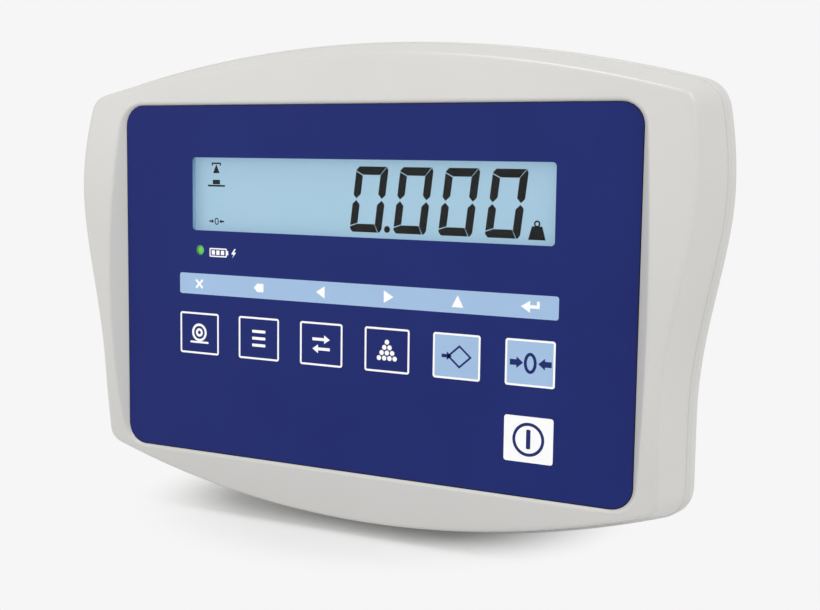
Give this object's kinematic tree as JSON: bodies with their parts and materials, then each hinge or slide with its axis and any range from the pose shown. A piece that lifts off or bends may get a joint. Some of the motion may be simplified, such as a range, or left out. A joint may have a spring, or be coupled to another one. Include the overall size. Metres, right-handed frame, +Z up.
{
  "type": "weighing indicator",
  "caption": "Bench weighing indicator: arched pale grey housing with a curved front, a sunk blue film panel, a wide lit display and push keys, connectors behind.",
  "frame": {"origin": "middle of the whole object's plan, on the floor that its feet stand on", "axes": "+X to the right and -Y out of the display, as the user sees it; +Z up"},
  "size_m": [0.2754, 0.0885, 0.1935],
  "materials": {
    "housing_plastic": "pale grey moulded plastic with a fine spark texture",
    "seal_rubber": "soft black rubber",
    "insert_brass": "turned brass",
    "steel": "zinc plated steel",
    "film_blue": "back-printed polyester film, satin",
    "key_pale_blue": "back-printed polyester film, satin",
    "key_white": "back-printed polyester film, satin",
    "window_clear": "clear gloss",
    "switch_white": "moulded white plastic",
    "component_black": "moulded black plastic",
    "display_glass": "lit pale blue display",
    "light_guide": "translucent acrylic",
    "lamp_green": "tinted epoxy",
    "board_green": "solder mask",
    "cable_grey": "PVC",
    "cable_black": "PVC",
    "cable_red": "PVC",
    "plated_metal": "nickel plated",
    "capacitor_sleeve": "sleeved aluminium",
    "battery_case": "ABS case",
    "foam": "closed cell foam"
  },
  "bodies": {
    "housing": {"front_shell": "housing_plastic", "rear_shell": "housing_plastic", "shell_gasket": "seal_rubber", "battery_door": "housing_plastic", "rubber_feet": "seal_rubber", "mount_inserts": "insert_brass", "shell_screws": "steel", "door_screws": "steel", "overlay_film": "film_blue", "window_lens": "window_clear", "switch_bodies": "component_black", "lcd_frame": "switch_white", "lcd_glass": "display_glass", "backlight": "light_guide", "charge_led": "lamp_green", "display_board": "board_green", "driver_chips": "component_black", "board_screws": "steel", "ribbon_headers": "component_black", "ribbon_cable": "cable_grey", "main_board": "board_green", "main_board_screws": "steel", "processor_chip": "component_black", "adc_shield": "plated_metal", "buzzer": "component_black", "capacitors": "capacitor_sleeve", "regulator": "component_black", "wire_headers": "switch_white", "battery": "battery_case", "battery_terminals": "steel", "battery_foam": "foam", "battery_lead_red": "cable_red", "battery_lead_black": "cable_black", "load_cell_socket": "plated_metal", "load_cell_pins": "insert_brass", "load_cell_nut": "plated_metal", "load_cell_lead": "cable_grey", "serial_port": "plated_metal", "serial_posts": "steel", "serial_lead": "cable_grey", "power_jack": "component_black", "power_jack_nut": "plated_metal", "power_lead": "cable_black"},
    "key_print": {"key_print": "film_blue", "stem_print": "switch_white"},
    "key_function": {"key_function": "film_blue", "stem_function": "switch_white"},
    "key_units": {"key_units": "film_blue", "stem_units": "switch_white"},
    "key_count": {"key_count": "film_blue", "stem_count": "switch_white"},
    "key_tare": {"key_tare": "key_pale_blue", "stem_tare": "switch_white"},
    "key_zero": {"key_zero": "key_pale_blue", "stem_zero": "switch_white"},
    "key_power": {"key_power": "key_white", "stem_power": "switch_white"}
  },
  "joints": [
    {"name": "print_press", "type": "slide", "parent": "housing", "child": "key_print", "axis": [0, 1, 0], "range_m": [0, 0.0003], "stiffness_N_per_m": 1500},
    {"name": "function_press", "type": "slide", "parent": "housing", "child": "key_function", "axis": [0, 1, 0], "range_m": [0, 0.0003], "stiffness_N_per_m": 1500},
    {"name": "units_press", "type": "slide", "parent": "housing", "child": "key_units", "axis": [0, 1, 0], "range_m": [0, 0.0003], "stiffness_N_per_m": 1500},
    {"name": "count_press", "type": "slide", "parent": "housing", "child": "key_count", "axis": [0, 1, 0], "range_m": [0, 0.0003], "stiffness_N_per_m": 1500},
    {"name": "tare_press", "type": "slide", "parent": "housing", "child": "key_tare", "axis": [0, 1, 0], "range_m": [0, 0.0003], "stiffness_N_per_m": 1500},
    {"name": "zero_press", "type": "slide", "parent": "housing", "child": "key_zero", "axis": [0, 1, 0], "range_m": [0, 0.0003], "stiffness_N_per_m": 1500},
    {"name": "power_press", "type": "slide", "parent": "housing", "child": "key_power", "axis": [0, 1, 0], "range_m": [0, 0.0003], "stiffness_N_per_m": 1500}
  ]
}
